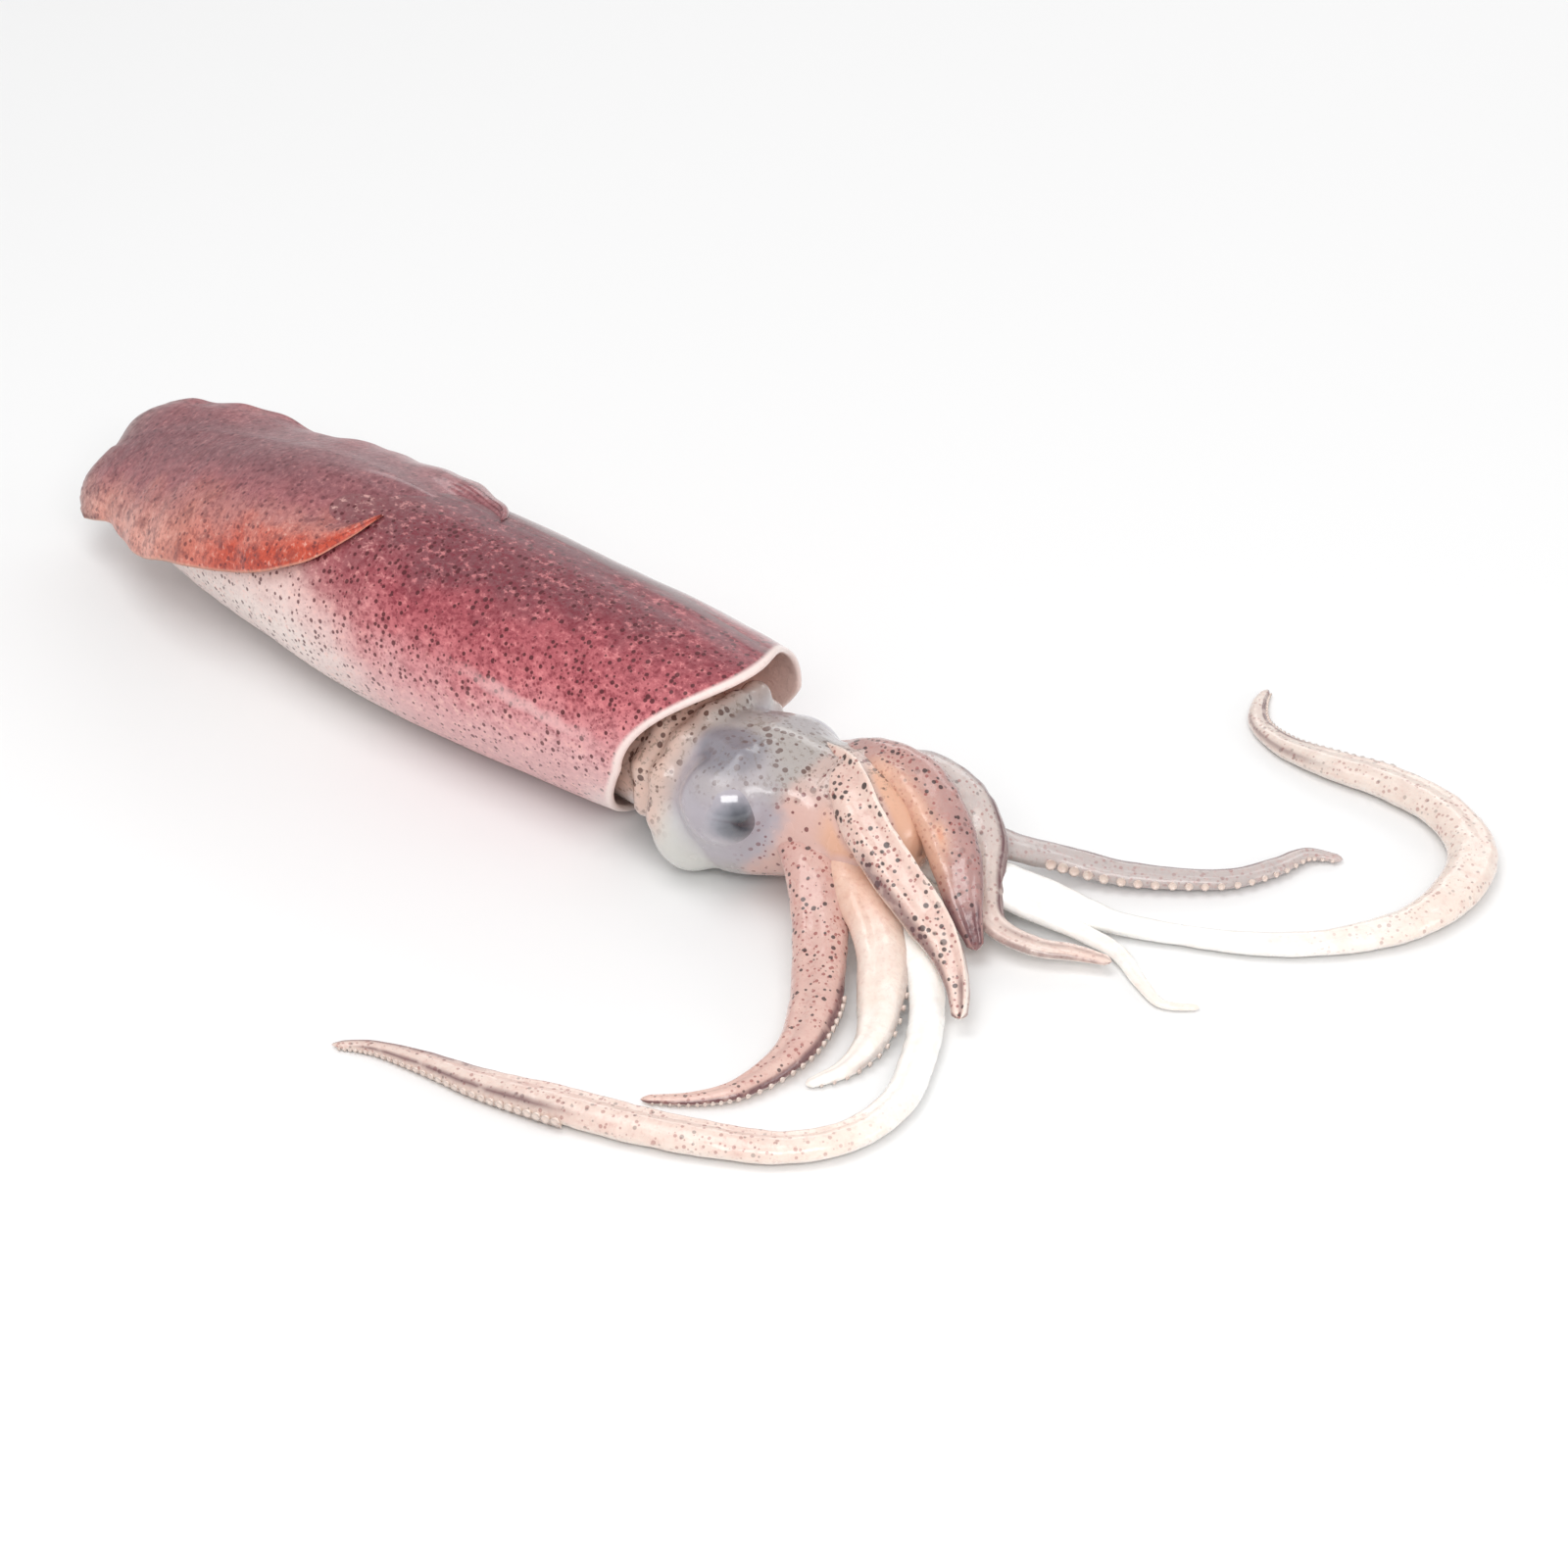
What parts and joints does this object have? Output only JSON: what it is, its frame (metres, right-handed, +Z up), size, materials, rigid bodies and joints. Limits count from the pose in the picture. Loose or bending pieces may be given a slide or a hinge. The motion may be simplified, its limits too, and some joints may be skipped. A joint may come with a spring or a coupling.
{
  "type": "whole raw squid",
  "caption": "Whole raw squid lying belly down, with its tapered mantle, folded fins, head with eyes, curled arms and long tentacles.",
  "frame": {"origin": "middle of the flat spot under the belly, on the surface that the squid lies on", "axes": "+X along the body from the tail to the head, +Y towards the squid's left side, +Z up"},
  "size_m": [0.318, 0.2163, 0.0467],
  "materials": {
    "skin": "wet, speckled rose and mauve skin",
    "pale_flesh": "wet, translucent pale flesh with small dark dots",
    "eye": "wet, grey-blue, mirror-smooth eye"
  },
  "bodies": {
    "root": {"squid": "skin"}
  },
  "joints": []
}
